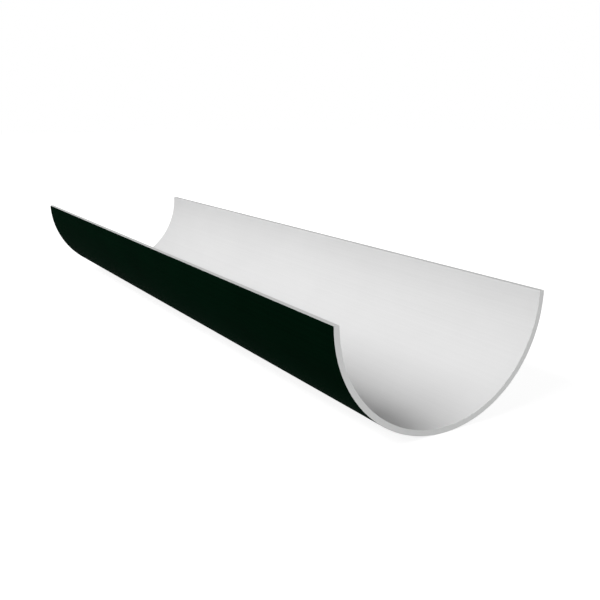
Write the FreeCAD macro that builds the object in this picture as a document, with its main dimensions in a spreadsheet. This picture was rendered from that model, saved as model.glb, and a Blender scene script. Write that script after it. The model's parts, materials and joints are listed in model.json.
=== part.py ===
import FreeCAD, Part
import math
import os

import Sketcher

# A plain half-round gutter section: one extruded length with an even wall, level rims with
# softened arrises, and both ends sawn square.
# It lies open side up on its round underside. X runs along the gutter, Y across it and Z up.
# The origin is the lowest point of the underside, midway between the two sawn ends.

SIZES_MM = {
    "outer_width": 125.0,  # across the outer faces at the rims: the outer diameter
    "wall": 3.0,  # thickness of the wall all round
    "section_length": 480.0,  # from one sawn end to the other
    "rim_radius": 0.5,  # softened arris along both sides of each rim
}

# Sketcher's numbers for the two axes, and for the points of a line or an arc.
HORIZONTAL_AXIS, VERTICAL_AXIS = -1, -2
START, END, CENTRE = 1, 2, 3


def add_sizes(doc):
    """The sheet that holds the driving sizes, each in a cell with an alias."""
    sheet = doc.addObject("Spreadsheet::Sheet", "Sizes")
    for row, (alias, millimetres) in enumerate(SIZES_MM.items(), start=1):
        sheet.set(f"A{row}", alias)
        sheet.set(f"B{row}", str(millimetres))
        sheet.setAlias(f"B{row}", alias)
    doc.recompute()
    return sheet


def origin_plane(body, role):
    return next(plane for plane in body.Origin.OriginFeatures if plane.Role == role)


def add_dimension(sketch, name, constraint, expression):
    """A named dimension of the sketch, bound to the sheet."""
    index = sketch.addConstraint(constraint)
    sketch.renameConstraint(index, name)
    sketch.setExpression(f"Constraints.{name}", expression)


def add_half_round_profile(body, sheet):
    """The cross-section: two half circles about one centre, joined by the two level rims."""
    sketch = body.newObject("Sketcher::SketchObject", "half_round_profile")
    sketch.AttachmentSupport = [(origin_plane(body, "YZ_Plane"), "")]
    sketch.MapMode = "FlatFace"

    outer_radius = sheet.outer_width / 2
    inner_radius = outer_radius - sheet.wall
    centre = FreeCAD.Vector(0, outer_radius, 0)
    across = FreeCAD.Vector(1, 0, 0)
    normal = FreeCAD.Vector(0, 0, 1)

    def lower_half(radius):
        return Part.ArcOfCircle(Part.Circle(centre, normal, radius), math.pi, 2 * math.pi)

    def rim(side):
        return Part.LineSegment(
            centre + across * side * outer_radius, centre + across * side * inner_radius
        )

    outer = sketch.addGeometry(lower_half(outer_radius))
    inner = sketch.addGeometry(lower_half(inner_radius))
    left_rim = sketch.addGeometry(rim(-1))
    right_rim = sketch.addGeometry(rim(1))

    for rim_line, arc_end in ((left_rim, START), (right_rim, END)):
        sketch.addConstraint(
            [
                Sketcher.Constraint("Coincident", rim_line, START, outer, arc_end),
                Sketcher.Constraint("Coincident", rim_line, END, inner, arc_end),
                Sketcher.Constraint("Horizontal", rim_line),
                Sketcher.Constraint("Horizontal", rim_line, START, outer, CENTRE),
            ]
        )
    sketch.addConstraint(
        [
            Sketcher.Constraint("Coincident", inner, CENTRE, outer, CENTRE),
            Sketcher.Constraint("PointOnObject", outer, CENTRE, VERTICAL_AXIS),
        ]
    )
    add_dimension(
        sketch,
        "width",
        Sketcher.Constraint("Diameter", outer, sheet.outer_width),
        "Sizes.outer_width",
    )
    add_dimension(
        sketch,
        "wall_thickness",
        Sketcher.Constraint("Distance", left_rim, sheet.wall),
        "Sizes.wall",
    )
    add_dimension(
        sketch,
        "rim_height",
        Sketcher.Constraint(
            "DistanceY", HORIZONTAL_AXIS, START, outer, CENTRE, outer_radius
        ),
        "Sizes.outer_width / 2",
    )
    return sketch


def rim_arrises(shape):
    """The names of the straight edges that run along the gutter: both sides of each rim."""
    names = []
    for number, edge in enumerate(shape.Edges, start=1):
        if isinstance(edge.Curve, Part.Line) and abs(edge.tangentAt(edge.FirstParameter).x) > 0.99:
            names.append(f"Edge{number}")
    return names


def add_gutter_section(doc, sheet):
    body = doc.addObject("PartDesign::Body", "gutter_section")
    body.Label = "gutter_section"
    profile = add_half_round_profile(body, sheet)

    run = body.newObject("PartDesign::Pad", "extruded_run")
    run.Profile = profile
    run.SideType = "Symmetric"
    run.setExpression("Length", "Sizes.section_length")
    doc.recompute()

    softened_rims = body.newObject("PartDesign::Fillet", "softened_rims")
    softened_rims.Base = (run, rim_arrises(run.Shape))
    softened_rims.setExpression("Radius", "Sizes.rim_radius")
    body.Tip = softened_rims
    doc.recompute()
    return body


def check(doc, body):
    for feature in doc.Objects:
        if "Invalid" in feature.State or "Error" in feature.State:
            raise RuntimeError(f"{feature.Label} did not recompute: {feature.State}")
    if body.Shape.isNull() or not body.Shape.isValid():
        raise RuntimeError(f"{body.Label} has no valid shape")
    if len(body.Shape.Solids) != 1:
        raise RuntimeError(f"{body.Label} should be one solid")


doc = FreeCAD.newDocument("gutter")
sizes = add_sizes(doc)
gutter_section = add_gutter_section(doc, sizes)
check(doc, gutter_section)

os.makedirs("parts", exist_ok=True)
gutter_section.Shape.exportStep(f"parts/{gutter_section.Label}.step")

box = gutter_section.Shape.BoundBox
print(f"{gutter_section.Label}: {box.XLength:.2f} x {box.YLength:.2f} x {box.ZLength:.2f} mm,")
print(f"{gutter_section.Shape.Volume / 1000:.2f} cm3, lowest point z = {box.ZMin:.3f}")
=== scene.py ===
# A plain half-round gutter section: white plastic with a dark green outer skin. Where the edge of its
# wall shows, along the rims and at the sawn ends, the white carries painted shade, greyer on the rims.
# It lies open side up on a pale floor.
# X runs along the gutter, Y across it and Z up, in metres.

import bpy
import json
import math
from mathutils import Matrix, Vector


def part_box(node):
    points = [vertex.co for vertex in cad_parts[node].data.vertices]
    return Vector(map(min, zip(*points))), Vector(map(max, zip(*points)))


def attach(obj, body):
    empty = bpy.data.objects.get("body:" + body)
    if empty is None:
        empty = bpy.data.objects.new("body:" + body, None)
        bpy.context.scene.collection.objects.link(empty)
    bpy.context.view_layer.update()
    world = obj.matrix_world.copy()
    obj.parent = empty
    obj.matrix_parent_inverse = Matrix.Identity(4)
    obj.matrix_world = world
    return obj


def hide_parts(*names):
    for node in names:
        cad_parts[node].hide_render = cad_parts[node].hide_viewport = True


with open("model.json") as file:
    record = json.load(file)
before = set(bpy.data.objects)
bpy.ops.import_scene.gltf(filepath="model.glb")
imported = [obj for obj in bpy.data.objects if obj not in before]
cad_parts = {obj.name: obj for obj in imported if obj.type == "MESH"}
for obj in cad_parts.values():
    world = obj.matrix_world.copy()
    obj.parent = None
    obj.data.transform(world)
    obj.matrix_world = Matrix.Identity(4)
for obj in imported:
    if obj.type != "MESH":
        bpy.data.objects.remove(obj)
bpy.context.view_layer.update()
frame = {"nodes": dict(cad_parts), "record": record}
print("frame loaded:", ", ".join(frame["nodes"]))


# node trees written as Python


class Number:
    # a number inside a node tree: sums written on it become Math nodes
    def __init__(self, maker, socket):
        self.maker = maker
        self.socket = socket

    def __add__(self, other):
        return self.maker.math("ADD", self, other)

    def __radd__(self, other):
        return self.maker.math("ADD", other, self)

    def __sub__(self, other):
        return self.maker.math("SUBTRACT", self, other)

    def __rsub__(self, other):
        return self.maker.math("SUBTRACT", other, self)

    def __mul__(self, other):
        return self.maker.math("MULTIPLY", self, other)

    def __rmul__(self, other):
        return self.maker.math("MULTIPLY", other, self)

    def __truediv__(self, other):
        return self.maker.math("DIVIDE", self, other)

    def __lt__(self, other):
        return self.maker.math("LESS_THAN", self, other)

    def __gt__(self, other):
        return self.maker.math("GREATER_THAN", self, other)


class NodeMaker:
    def __init__(self, tree):
        self.tree = tree

    def add(self, kind, settings=None, sockets=None):
        node = self.tree.nodes.new(kind)
        for name, value in (settings or {}).items():  # these come first: some change the sockets
            setattr(node, name, value)
        for name, value in (sockets or {}).items():
            self.feed(node.inputs[name], value)
        return node

    def feed(self, socket, value):
        if isinstance(value, Number):
            value = value.socket
        if isinstance(value, bpy.types.NodeSocket):
            self.tree.links.new(value, socket)
        else:
            socket.default_value = value

    def number(self, node, output=0):
        return Number(self, node.outputs[output])

    def math(self, operation, *values):
        node = self.add("ShaderNodeMath", {"operation": operation}, dict(enumerate(values)))
        return self.number(node)

    def ramp(self, value, start, length, low=0.0, high=1.0):
        # low up to start, then an even rise to high over length, and level after that
        ends = {"From Min": start, "From Max": start + length, "To Min": low, "To Max": high}
        return self.number(self.add("ShaderNodeMapRange", None, {"Value": value, **ends}))

    def vector(self, x, y, z):
        return self.add("ShaderNodeCombineXYZ", None, {"X": x, "Y": y, "Z": z}).outputs[0]


# the gutter section's shape

seats = {mount["name"]: mount for mount in frame["record"]["mounts"]}
lowest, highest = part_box("gutter_section")

gutter = {
    "Outer Radius": seats["bracket_seat"]["dims"]["r_mm"] / 1000,
    "Inner Radius": seats["channel_seat"]["dims"]["r_mm"] / 1000,
    "Length": highest.x - lowest.x,
    "Rim Radius": 0.0005,  # softened arris along both sides of each rim
    "Sawn Radius": 0.00012,  # the arris that the saw leaves round each end
    "Skin": 0.00006,  # thickness of the green skin, seen round the sawn ends
    "Arc Steps": 120,  # faces round each half circle
    "Run Steps": 24,  # faces along the straight run
    "Rim Steps": 3,  # faces across each rim
    "Corner Steps": 6,  # faces round each arris of the rims
    "Sawn Steps": 3,  # faces round the arris of each sawn end
    "Join Within": 0.000001,  # points this close are one, which closes the seam and both ends
}


def addGutterTree(materials):
    # The wall is a strip with rounded corners, bent round half a circle and run from end to end.
    # A grid holds it, one row of points for each ring across the gutter. Its first and last rows
    # are drawn in to the middle of the wall, where they close the sawn ends.
    tree = bpy.data.node_groups.new("halfRoundSection", "GeometryNodeTree")
    tree.interface.new_socket("Section", in_out="OUTPUT", socket_type="NodeSocketGeometry")
    for name, size in gutter.items():
        kind = "NodeSocketInt" if isinstance(size, int) else "NodeSocketFloat"
        tree.interface.new_socket(name, in_out="INPUT", socket_type=kind)
    for name in materials:
        tree.interface.new_socket(name, in_out="INPUT", socket_type="NodeSocketMaterial")

    maker = NodeMaker(tree)
    given = maker.add("NodeGroupInput")
    outerRadius = maker.number(given, "Outer Radius")
    innerRadius = maker.number(given, "Inner Radius")
    length = maker.number(given, "Length")
    rimRadius = maker.number(given, "Rim Radius")
    sawnRadius = maker.number(given, "Sawn Radius")
    skin = maker.number(given, "Skin")
    arcSteps = maker.number(given, "Arc Steps")
    runSteps = maker.number(given, "Run Steps")
    rimSteps = maker.number(given, "Rim Steps")
    cornerSteps = maker.number(given, "Corner Steps")
    sawnSteps = maker.number(given, "Sawn Steps")
    joinWithin = maker.number(given, "Join Within")

    # steps along the run, from one sawn end to the other
    runStart = 1 + sawnSteps
    farTurn = runStart + runSteps
    farCap = farTurn + sawnSteps
    alongSteps = farCap + 1

    # steps round the wall: outer face, one rim, inner face, the other rim, a corner after each
    firstRim = arcSteps + cornerSteps
    innerStart = firstRim + rimSteps + cornerSteps
    secondRim = innerStart + firstRim
    lastCorner = secondRim + rimSteps
    aroundSteps = lastCorner + cornerSteps

    grid = maker.add("GeometryNodeMeshGrid", None, {
        "Size X": alongSteps,
        "Size Y": aroundSteps,
        "Vertices X": alongSteps + 1,
        "Vertices Y": aroundSteps + 1,
    })
    gridPlace = maker.add("GeometryNodeInputPosition").outputs[0]
    gridParts = maker.add("ShaderNodeSeparateXYZ", None, {0: gridPlace})
    along = maker.number(gridParts, "X") + alongSteps * 0.5
    around = maker.number(gridParts, "Y") + aroundSteps * 0.5

    # how far each ring stands along the run, and how far it is drawn into the wall
    quarter = math.pi / 2
    wall = outerRadius - innerRadius
    nearAngle = maker.ramp(along, 1, sawnSteps, quarter, 0.0)
    farAngle = maker.ramp(along, farTurn, sawnSteps, 0.0, quarter)
    endFacing = maker.math("SINE", nearAngle) - maker.math("SINE", farAngle)
    sideFacing = maker.math("COSINE", nearAngle + farAngle)
    capShare = maker.ramp(along, 0, 1, 1.0, 0.0) + maker.ramp(along, farCap, 1)
    straight = length - 2 * sawnRadius
    x = straight * (0.5 - maker.ramp(along, runStart, runSteps)) + sawnRadius * endFacing
    inset = sawnRadius * (1 - sideFacing) + (wall * 0.5 - sawnRadius) * capShare

    # the strip's rounded outline, as long as the half circle at the middle of the wall
    middleRadius = (outerRadius + innerRadius) * 0.5
    cornerRadius = maker.math("MAXIMUM", rimRadius - inset, 0.0)
    halfLength = middleRadius * quarter - inset - cornerRadius
    halfWall = wall * 0.5 - inset - cornerRadius
    lengthShare = maker.ramp(around, 0, arcSteps) - maker.ramp(around, innerStart, arcSteps)
    wallShare = maker.ramp(around, secondRim, rimSteps) - maker.ramp(around, firstRim, rimSteps)
    turns = 1  # where the outline faces, in quarter turns: outwards first, one less at each corner
    for cornerStart in (arcSteps, firstRim + rimSteps, innerStart + arcSteps, lastCorner):
        turns = turns - maker.ramp(around, cornerStart, cornerSteps)
    facing = turns * quarter
    alongArc = halfLength * (2 * lengthShare - 1) + cornerRadius * maker.math("COSINE", facing)
    outward = halfWall * (2 * wallShare + 1) + cornerRadius * maker.math("SINE", facing)

    # bent round the half circle, with the lowest line of the outer face on the floor
    angle = alongArc / middleRadius - quarter
    radius = middleRadius + outward
    y = radius * maker.math("COSINE", angle)
    z = outerRadius + radius * maker.math("SINE", angle)

    # the surface's true direction, so that the broad faces shade evenly right up to the arrises
    lean = facing - angle
    sideY = sideFacing * maker.math("SINE", lean)
    sideZ = sideFacing * maker.math("COSINE", lean)
    direction = maker.vector(endFacing, sideY, sideZ)

    # each zone of the surface: its edges are half way round the corners, and the rims have no test
    # of their own, because their material goes on first and everywhere
    halfCorner = cornerSteps * 0.5
    inside = (around > innerStart - halfCorner) * (around < secondRim - halfCorner)
    outside = (around < arcSteps + halfCorner) + (around > lastCorner + halfCorner)
    keptDirection = addCapture(maker, grid.outputs["Mesh"], "POINT", "VECTOR", direction)
    keptInside = addCapture(maker, keptDirection.outputs[0], "FACE", "FLOAT", inside)
    keptOutside = addCapture(maker, keptInside.outputs[0], "FACE", "FLOAT", outside)
    keptCut = addCapture(maker, keptOutside.outputs[0], "FACE", "FLOAT", inset > skin)

    shaped = maker.add("GeometryNodeSetPosition", None, {
        "Geometry": keptCut.outputs[0],
        "Position": maker.vector(x, y, z),
    })
    closed = maker.add("GeometryNodeMergeByDistance", None, {
        "Geometry": shaped.outputs[0],
        "Distance": joinWithin,
    })
    faced = maker.add("GeometryNodeSetMeshNormal", {"mode": "FREE", "domain": "POINT"}, {
        "Mesh": closed.outputs[0],
        "Custom Normal": keptDirection.outputs[1],
    })
    section = maker.add("GeometryNodeRealizeInstances", None, {0: faced.outputs[0]}).outputs[0]
    zones = (True, keptInside.outputs[1], keptOutside.outputs[1], keptCut.outputs[1])
    for name, where in zip(materials, zones):
        section = maker.add("GeometryNodeSetMaterial", None, {
            "Geometry": section,
            "Selection": where,
            "Material": given.outputs[name],
        }).outputs[0]
    maker.add("NodeGroupOutput", None, {"Section": section})
    return tree


def addCapture(maker, geometry, domain, kind, value):
    # keeps a value on the geometry as it is now, before the points move
    node = maker.add("GeometryNodeCaptureAttribute", {"domain": domain}, {"Geometry": geometry})
    node.capture_items.new(kind, "kept")
    maker.feed(node.inputs[1], value)
    return node


def makeGutter(materials):
    tree = addGutterTree(materials)
    piece = bpy.data.objects.new("gutterSection", bpy.data.meshes.new("gutterSection"))
    bpy.context.scene.collection.objects.link(piece)
    shaping = piece.modifiers.new("shaping", "NODES")
    shaping.node_group = tree
    for socket in tree.interface.items_tree:
        if socket.in_out == "INPUT":
            shaping[socket.identifier] = {**gutter, **materials}[socket.name]

    shaped = piece.evaluated_get(bpy.context.evaluated_depsgraph_get())
    plain = bpy.data.meshes.new_from_object(shaped)
    piece.modifiers.remove(shaping)
    slots = [face.material_index - 1 for face in plain.polygons]  # the grid brings an empty first slot
    plain.materials.pop(index=0)
    plain.polygons.foreach_set("material_index", slots)
    piece.data = plain
    return piece


# finishes

mottle = {"plain": 2.0, "rich": 3.0}  # how many finer sizes of mottle lie over a noise's main one

plastic = {
    "streakPitch": 0.0011,  # width of the faint lines that the die draws along the run
    "streakReach": 0.45,  # how far one line runs before it fades
    "streakShare": 0.4,  # the lines' part in the tone, beside the clouds
    "peelPitch": 0.0016,  # the skin's slight orange peel
    "grainPitch": 0.00022,  # the finest roughness of the surface
    "cloudPitch": 0.07,  # slow changes of tone and gloss
    "noiseFrom": 0.35,  # a noise seldom leaves the values between these two
    "noiseTo": 0.65,
}

whiteWall = {
    "colour": (0.74, 0.74, 0.74),
    "toneSpread": 0.020,
    "roughness": 0.80,
    "roughnessSpread": 0.08,
    "specular": 0.03,
    "streakDepth": 0.000012,
    "peelDepth": 0.000008,
    "grainDepth": 0.000002,
}

# painted shade: the rims are the wall's own white plastic, coloured a darker grey than the sawn ends
# because the rims face up into more lamp light
shadedRim = {
    "colour": (0.54, 0.545, 0.54),
    "toneSpread": 0.025,
    "roughness": 0.80,
    "roughnessSpread": 0.08,
    "specular": 0.03,
    "streakDepth": 0.000012,
    "peelDepth": 0.000008,
    "grainDepth": 0.000003,
}

outerSkin = {
    "colour": (0.0005, 0.0060, 0.0025),
    "toneSpread": 0.30,
    "roughness": 0.92,
    "roughnessSpread": 0.06,
    "specular": 0.003,
    "streakDepth": 0.000015,
    "peelDepth": 0.000010,
    "grainDepth": 0.000003,
}

# painted shade: the sawn ends are the wall's own white plastic, coloured a little below its white, and
# lighter than the rims because the upright ends take less lamp light
shadedSawnEnd = {
    "colour": (0.715, 0.72, 0.715),
    "toneSpread": 0.06,
    "roughness": 0.75,
    "roughnessSpread": 0.12,
    "specular": 0.04,
    "bladeCentre": (0.0, 0.16, 0.21),  # the saw's axis, whose arcs cross the cut face
    "toothPitch": 0.0007,
    "toothDepth": 0.000045,
    "wanderPitch": 0.01,  # the marks stray and fade at this scale
    "wander": 3.2,  # how far they stray, in radians of one mark
    "faintest": 0.2,  # the faintest mark, beside the deepest
    "grainPitch": 0.00025,
    "grainShare": 0.4,  # the grain's part in the tone, beside the marks
    "grainDepth": 0.000015,
}


def startMaterial(name):
    material = bpy.data.materials.new(name)
    material.use_nodes = True
    material.node_tree.nodes.clear()
    return material, NodeMaker(material.node_tree)


def noise(maker, place, pitch, detail=mottle["plain"], reach=None):
    # even in every direction, or drawn out along the run where it has a reach
    scale = Vector((1 / (reach or pitch), 1 / pitch, 1 / pitch))
    sockets = {"Vector": place, "Scale": scale}
    scaled = maker.add("ShaderNodeMapping", {"vector_type": "POINT"}, sockets)
    sockets = {"Vector": scaled.outputs[0], "Scale": 1.0, "Detail": detail}
    return maker.number(maker.add("ShaderNodeTexNoise", {"noise_dimensions": "3D"}, sockets))


def tinted(maker, finish, share):
    # The finish's colour, from darker to lighter by its spread as share goes from 0 to 1. A Mix
    # node's colours are its sockets 6 and 7, and the mixed colour is its output 2.
    darker, lighter = 1 - finish["toneSpread"], 1 + finish["toneSpread"]
    return maker.add("ShaderNodeMix", {"data_type": "RGBA", "blend_type": "MIX"}, {
        "Factor": share,
        6: (*(part * darker for part in finish["colour"]), 1),
        7: (*(part * lighter for part in finish["colour"]), 1),
    }).outputs[2]


def finishSurface(maker, finish, colour, roughness, height):
    # height is in metres
    relief = maker.add("ShaderNodeBump", None, {"Height": height, "Distance": 1.0, "Strength": 1.0})
    shader = maker.add("ShaderNodeBsdfPrincipled", None, {
        "Base Color": colour,
        "Roughness": roughness,
        "Normal": relief.outputs[0],
        "Specular IOR Level": finish["specular"],
    })
    maker.add("ShaderNodeOutputMaterial", None, {"Surface": shader.outputs[0]})


def extrudedPlastic(name, finish):
    material, maker = startMaterial(name)
    place = maker.add("ShaderNodeTexCoord").outputs["Object"]
    streaks = noise(maker, place, plastic["streakPitch"], mottle["rich"], plastic["streakReach"])
    peel = noise(maker, place, plastic["peelPitch"])
    grain = noise(maker, place, plastic["grainPitch"])
    clouds = noise(maker, place, plastic["cloudPitch"], mottle["rich"])

    mixed = clouds * (1 - plastic["streakShare"]) + streaks * plastic["streakShare"]
    tone = maker.ramp(mixed, plastic["noiseFrom"], plastic["noiseTo"] - plastic["noiseFrom"])
    roughness = finish["roughness"] + finish["roughnessSpread"] * (clouds + streaks - 1)
    height = (
        streaks * finish["streakDepth"] + peel * finish["peelDepth"] + grain * finish["grainDepth"]
    )
    finishSurface(maker, finish, tinted(maker, finish, tone), roughness, height)
    return material


def sawnPlastic(name, finish):
    material, maker = startMaterial(name)
    place = maker.add("ShaderNodeTexCoord").outputs["Object"]
    grain = noise(maker, place, finish["grainPitch"], mottle["rich"])
    clouds = noise(maker, place, finish["wanderPitch"])

    # rings round the saw's axis, straying a little and deeper in some places than in others
    sockets = {0: place, 1: finish["bladeCentre"]}
    fromBlade = maker.add("ShaderNodeVectorMath", {"operation": "SUBTRACT"}, sockets)
    parts = maker.add("ShaderNodeSeparateXYZ", None, {0: fromBlade.outputs[0]})
    across = maker.vector(0.0, parts.outputs["Y"], parts.outputs["Z"])
    reach = maker.add("ShaderNodeVectorMath", {"operation": "LENGTH"}, {0: across})
    turn = maker.number(reach, "Value") * (2 * math.pi / finish["toothPitch"])
    teeth = maker.math("SINE", turn + clouds * finish["wander"]) * 0.5 + 0.5
    marks = teeth * (clouds * (1 - finish["faintest"]) + finish["faintest"])

    tone = marks * (1 - finish["grainShare"]) + grain * finish["grainShare"]
    roughness = finish["roughness"] + finish["roughnessSpread"] * (grain - 0.5)
    height = marks * finish["toothDepth"] + grain * finish["grainDepth"]
    finishSurface(maker, finish, tinted(maker, finish, tone), roughness, height)
    return material


gutterSection = makeGutter({
    "Rim": extrudedPlastic("shadedRim", shadedRim),
    "White Wall": extrudedPlastic("whiteWall", whiteWall),
    "Outer Skin": extrudedPlastic("outerSkin", outerSkin),
    "Sawn End": sawnPlastic("shadedSawnEnd", shadedSawnEnd),
})
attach(gutterSection, "root")
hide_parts("gutter_section")
print("gutter section made:", len(gutterSection.data.polygons), "faces")


# floor and background

backdrop = {
    "radius": 4.0,
    "sides": 96,
    "below": 0.00002,  # keeps the floor just clear of the gutter's lowest line
    "colour": (0.35, 0.35, 0.35),
    "glow": 0.87,  # what brings the lit floor up to white where it is seen
    "evenFrom": 0.35,  # from this far out the glow grows
    "evenTo": 1.2,  # and from here on it is a full white by itself
    "ambient": 0.07,  # the even light from all round
}


def seenShare(maker):
    # 1 for what is looked at, straight or in a reflection, and 0 for the light that falls on things
    path = maker.add("ShaderNodeLightPath")
    looked = maker.number(path, "Is Camera Ray")
    mirrored = maker.number(path, "Is Glossy Ray")
    through = maker.number(path, "Is Transmission Ray")
    return maker.math("MAXIMUM", maker.math("MAXIMUM", looked, mirrored), through)


def makeFloor():
    material, maker = startMaterial("paleFloor")
    place = maker.add("ShaderNodeTexCoord").outputs["Object"]
    reach = maker.add("ShaderNodeVectorMath", {"operation": "LENGTH"}, {0: place})
    evenOver = backdrop["evenTo"] - backdrop["evenFrom"]
    glow = maker.ramp(maker.number(reach, "Value"), backdrop["evenFrom"], evenOver, backdrop["glow"])
    matte = maker.add("ShaderNodeBsdfDiffuse", None, {"Color": (*backdrop["colour"], 1)})
    shine = maker.add("ShaderNodeEmission", None, {"Strength": glow * seenShare(maker)})
    both = maker.add("ShaderNodeAddShader", None, {0: matte.outputs[0], 1: shine.outputs[0]})
    maker.add("ShaderNodeOutputMaterial", None, {"Surface": both.outputs[0]})

    bpy.ops.mesh.primitive_circle_add(
        vertices=backdrop["sides"],
        radius=backdrop["radius"],
        fill_type="NGON",
        location=(0, 0, -backdrop["below"]),
    )
    floor = bpy.context.object
    floor.name = "floor"
    floor.data.materials.append(material)


def makeWorld():
    # white where it is seen, and a low even level for the light that it gives
    world = bpy.data.worlds.new("studio")
    bpy.context.scene.world = world
    world.use_nodes = True
    world.node_tree.nodes.clear()
    maker = NodeMaker(world.node_tree)
    seen = seenShare(maker)
    strength = seen + (1 - seen) * backdrop["ambient"]
    shine = maker.add("ShaderNodeBackground", None, {"Color": (1, 1, 1, 1), "Strength": strength})
    maker.add("ShaderNodeOutputWorld", None, {"Surface": shine.outputs[0]})


makeFloor()
makeWorld()
print("floor and background made")


# lamps: three in front, one low at each end and one behind, all turned to the gutter's middle

lamps = {  # round and height are angles in degrees, and 0 round is the -Y side
    "keyLamp": {"round": 15, "height": 40, "away": 1.8, "size": 1.0, "watts": 15.4},
    "highLamp": {"round": 0, "height": 50, "away": 1.8, "size": 0.5, "watts": 9.4},
    "sideLamp": {"round": -45, "height": 36, "away": 1.8, "size": 0.5, "watts": 4.2},
    "endLamp": {"round": 90, "height": 8, "away": 1.8, "size": 0.4, "watts": 12.0},
    "backLamp": {"round": 190, "height": 14, "away": 1.8, "size": 0.6, "watts": 20.0},
    "farLamp": {"round": 262, "height": 8, "away": 1.8, "size": 0.4, "watts": 6.0},
}


def standOff(roundAngle, height, away):
    # a point away from the origin, by its angles round from the -Y side and above the floor
    turn = math.radians(roundAngle)
    rise = math.radians(height)
    level = away * math.cos(rise)
    return Vector((level * math.sin(turn), -level * math.cos(turn), away * math.sin(rise)))


def makeLamp(name, lamp):
    light = bpy.data.lights.new(name, "AREA")
    light.shape = "DISK"
    light.size = lamp["size"]
    light.energy = lamp["watts"]
    holder = bpy.data.objects.new(name, light)
    bpy.context.scene.collection.objects.link(holder)
    holder.location = standOff(lamp["round"], lamp["height"], lamp["away"])
    holder.rotation_euler = (-holder.location).to_track_quat("-Z", "Y").to_euler()


for lampName, lamp in lamps.items():
    makeLamp(lampName, lamp)
print("lamps made:", len(lamps))


# camera

view = {
    "lookAt": (0.0813, 0.0152, 0.0300),  # inside the gutter, towards the near end
    "round": 59.35,  # angles in degrees, as the lamps have them
    "height": 14.00,
    "away": 0.511,
    "roll": -0.32,
    "lens": 47.5,  # lens and sensor in millimetres
    "sensor": 36.0,
    "nearest": 0.01,  # what comes closer than this isn't drawn
}


def makeCamera():
    camera = bpy.data.objects.new("camera", bpy.data.cameras.new("camera"))
    bpy.context.scene.collection.objects.link(camera)
    back = standOff(view["round"], view["height"], view["away"])
    aim = (-back).to_track_quat("-Z", "Y").to_matrix().to_4x4()
    roll = Matrix.Rotation(math.radians(view["roll"]), 4, "Z")
    camera.matrix_world = Matrix.Translation(Vector(view["lookAt"]) + back) @ aim @ roll
    camera.data.lens = view["lens"]
    camera.data.sensor_width = view["sensor"]
    camera.data.clip_start = view["nearest"]
    bpy.context.scene.camera = camera


makeCamera()
bpy.context.scene.view_settings.view_transform = "Standard"
print("camera set")
